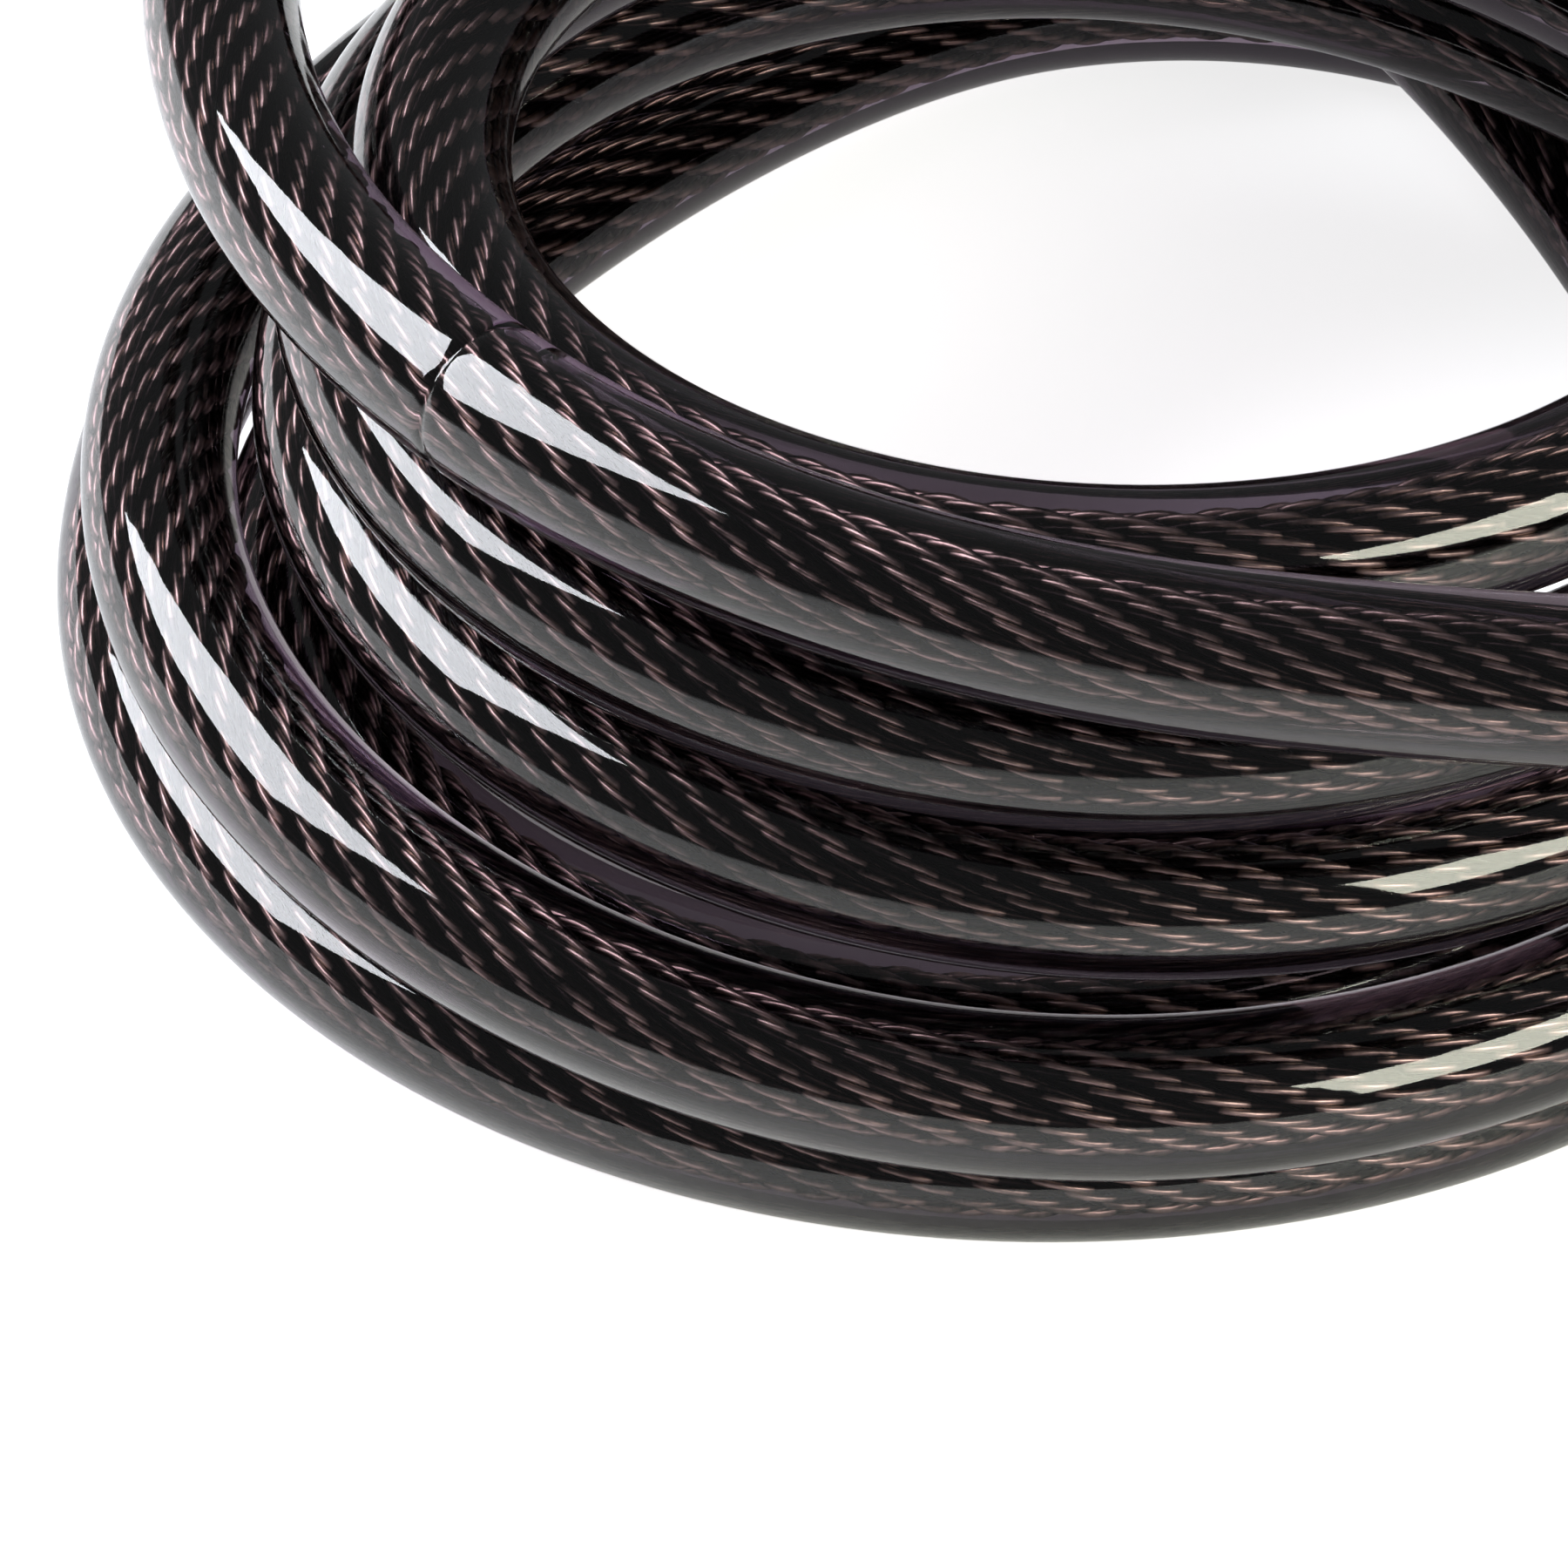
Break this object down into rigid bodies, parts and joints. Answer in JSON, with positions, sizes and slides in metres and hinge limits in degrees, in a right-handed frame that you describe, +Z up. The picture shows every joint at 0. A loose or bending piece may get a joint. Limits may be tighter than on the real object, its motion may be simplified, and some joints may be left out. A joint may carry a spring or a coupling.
{
  "type": "cable lock",
  "caption": "Coiled bicycle cable lock: clear-sheathed steel cable in loose turns, with an in-line combination lock head and a pull-out plug.",
  "frame": {"origin": "on the floor under the middle of the lock head", "axes": "+X along the lock head's axis, the way the plug pulls out; +Z up"},
  "size_m": [0.3748, 0.1583, 0.0554],
  "materials": {
    "sheath": "extruded clear smoke PVC, glossy",
    "boot": "moulded soft PVC, fine texture",
    "housing": "zinc die casting, satin powder coat",
    "rail": "moulded nylon, fine spark texture",
    "wheel": "moulded ABS, satin, printed digits",
    "ring": "sintered steel",
    "hardened_steel": "turned, hardened, nickel-plated",
    "zinc_steel": "zinc-plated, satin",
    "spring_steel": "bright spring steel",
    "chrome": "polished",
    "aluminium": "crimped, bright",
    "button": "turned, satin"
  },
  "bodies": {
    "head": {"anchor_housing": "housing", "entry_housing": "housing", "entry_bezel": "chrome", "lower_bridge": "rail", "upper_bridge": "rail", "bridge_screw_1": "zinc_steel", "bridge_screw_2": "zinc_steel", "bridge_screw_3": "zinc_steel", "bridge_screw_4": "zinc_steel", "core_sleeve": "hardened_steel", "detent_spring": "spring_steel", "wave_washer": "spring_steel", "reset_collar": "button", "reset_spring": "spring_steel", "anchor_ferrule": "aluminium", "anchor_cross_pin": "zinc_steel", "anchor_boot": "boot", "anchor_cable_end": "sheath", "anchor_lead": "sheath", "cable_coil": "sheath", "plug_lead": "sheath"},
    "wheel_1": {"wheel_1": "wheel", "clutch_ring_1": "ring"},
    "wheel_2": {"wheel_2": "wheel", "clutch_ring_2": "ring"},
    "wheel_3": {"wheel_3": "wheel", "clutch_ring_3": "ring"},
    "wheel_4": {"wheel_4": "wheel", "clutch_ring_4": "ring"},
    "plug": {"locking_pin": "hardened_steel", "plug_collar": "chrome", "plug_ferrule": "aluminium", "plug_boot": "boot", "plug_cable_end": "sheath"},
    "button": {"reset_button": "button"}
  },
  "joints": [
    {"name": "wheel_1_turn", "type": "hinge", "parent": "head", "child": "wheel_1", "pos_m": [-0.0089, 0, 0.0134], "axis": [1, 0, 0], "continuous": true},
    {"name": "wheel_2_turn", "type": "hinge", "parent": "head", "child": "wheel_2", "pos_m": [-0.0009, 0, 0.0134], "axis": [1, 0, 0], "continuous": true},
    {"name": "wheel_3_turn", "type": "hinge", "parent": "head", "child": "wheel_3", "pos_m": [0.0071, 0, 0.0134], "axis": [1, 0, 0], "continuous": true},
    {"name": "wheel_4_turn", "type": "hinge", "parent": "head", "child": "wheel_4", "pos_m": [0.0151, 0, 0.0134], "axis": [1, 0, 0], "continuous": true},
    {"name": "plug_slide", "type": "slide", "parent": "head", "child": "plug", "axis": [1, 0, 0], "range_m": [0, 0.04], "deforming": ["plug_lead"]},
    {"name": "reset_press", "type": "slide", "parent": "head", "child": "button", "axis": [0, 0, -1], "range_m": [0, 0.001], "stiffness_N_per_m": 800, "springref_m": -0.001, "deforming": ["reset_spring"]}
  ]
}
